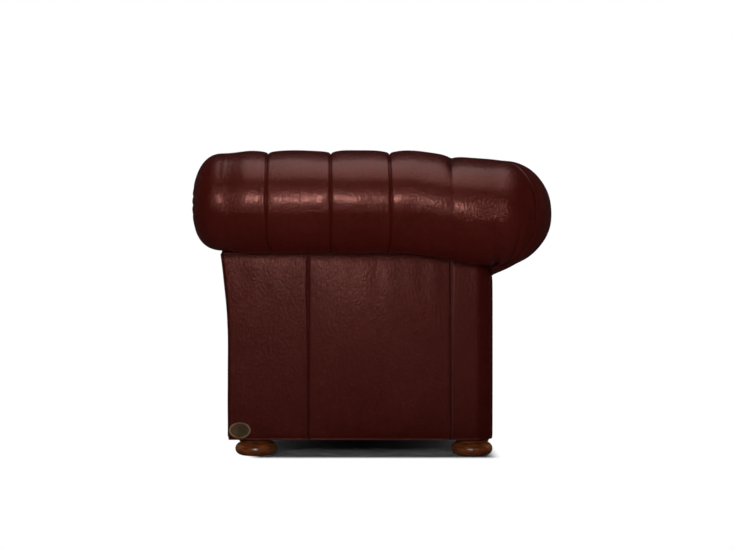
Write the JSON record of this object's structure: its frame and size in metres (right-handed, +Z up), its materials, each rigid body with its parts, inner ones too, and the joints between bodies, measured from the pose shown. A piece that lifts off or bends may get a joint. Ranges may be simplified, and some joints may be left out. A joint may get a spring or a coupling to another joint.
{
  "type": "upholstered armchair",
  "caption": "Low-back scroll-arm club armchair in buttoned oxblood leather, with a loose seat cushion on a sprung timber frame and turned bun feet.",
  "frame": {"origin": "on the floor, at the middle of the chair's width and depth", "axes": "+Z up, -Y to the front, the way the sitter faces, +X to the sitter's left arm"},
  "size_m": [1.066, 0.872, 0.76],
  "materials": {
    "frame_timber": "planed kiln-dried beech, unfinished",
    "hardboard": "brown hardboard lining",
    "foam_padding": "cut foam under a polyester wrap",
    "spring_steel": "dark tempered wire",
    "clip_steel": "folded plated strip",
    "zinc_steel": "zinc-plated",
    "glide_nylon": "moulded nylon",
    "turned_wood": "turned hardwood, dark satin lacquer",
    "webbing": "woven elastic webbing",
    "dust_cloth": "black spun-bonded cloth",
    "zip_tape": "woven tape with a coil",
    "zip_metal": "aged brass",
    "badge_metal": "plain aged brass plate with a raised rim",
    "button_leather": "oxblood leather over a domed button",
    "cushion_leather": "semi-gloss oxblood leather, rubbed paler on edges",
    "oxblood_leather": "semi-gloss oxblood leather with a fine grain"
  },
  "bodies": {
    "chair": {"arm_buttons": "button_leather", "arm_cover_left": "oxblood_leather", "arm_cover_right": "oxblood_leather", "arm_front_panel_left": "oxblood_leather", "arm_front_panel_right": "oxblood_leather", "arm_pad_left": "foam_padding", "arm_pad_right": "foam_padding", "arm_tacking_rails": "frame_timber", "arm_top_rails": "frame_timber", "arm_tuck_rails": "frame_timber", "back_buttons": "button_leather", "back_cover": "oxblood_leather", "back_formers": "frame_timber", "back_pad": "foam_padding", "back_seat_rail": "frame_timber", "back_spring_rail": "frame_timber", "back_tacking_rail": "frame_timber", "back_top_rail": "frame_timber", "back_tuck_rail": "frame_timber", "back_webbing": "webbing", "corner_blocks": "frame_timber", "dust_cloth": "dust_cloth", "foot_front_left": "turned_wood", "foot_front_right": "turned_wood", "foot_glides": "glide_nylon", "foot_rear_left": "turned_wood", "foot_rear_right": "turned_wood", "front_arm_former_left": "frame_timber", "front_arm_former_right": "frame_timber", "front_border": "oxblood_leather", "front_rail_blocks": "frame_timber", "front_seat_rail": "frame_timber", "front_spring_rail": "frame_timber", "hanger_bolts": "zinc_steel", "inner_arm_boards": "hardboard", "mid_arm_formers": "frame_timber", "outer_back_board": "hardboard", "outer_back_leather": "oxblood_leather", "outer_side_boards": "hardboard", "outer_side_leather_left": "oxblood_leather", "outer_side_leather_right": "oxblood_leather", "oval_badge": "badge_metal", "rear_posts": "frame_timber", "rosettes": "button_leather", "seat_deck": "foam_padding", "seat_spring_1": "spring_steel", "seat_spring_2": "spring_steel", "seat_spring_3": "spring_steel", "seat_spring_4": "spring_steel", "seat_spring_5": "spring_steel", "side_rails": "frame_timber", "spring_clips": "clip_steel", "tee_nuts": "zinc_steel"},
    "seat_cushion": {"cushion_core": "foam_padding", "cushion_boxing": "cushion_leather", "cushion_top_panel": "cushion_leather", "cushion_bottom_panel": "cushion_leather", "cushion_zip": "zip_tape"},
    "zip_pull": {"zip_slider": "zip_metal"}
  },
  "joints": [
    {"name": "seat_cushion_lift", "type": "slide", "parent": "chair", "child": "seat_cushion", "axis": [0, 0, 1], "range_m": [0, 0.48]},
    {"name": "cushion_zip_slide", "type": "slide", "parent": "seat_cushion", "child": "zip_pull", "axis": [-1, 0, 0], "range_m": [0, 0.398]}
  ]
}
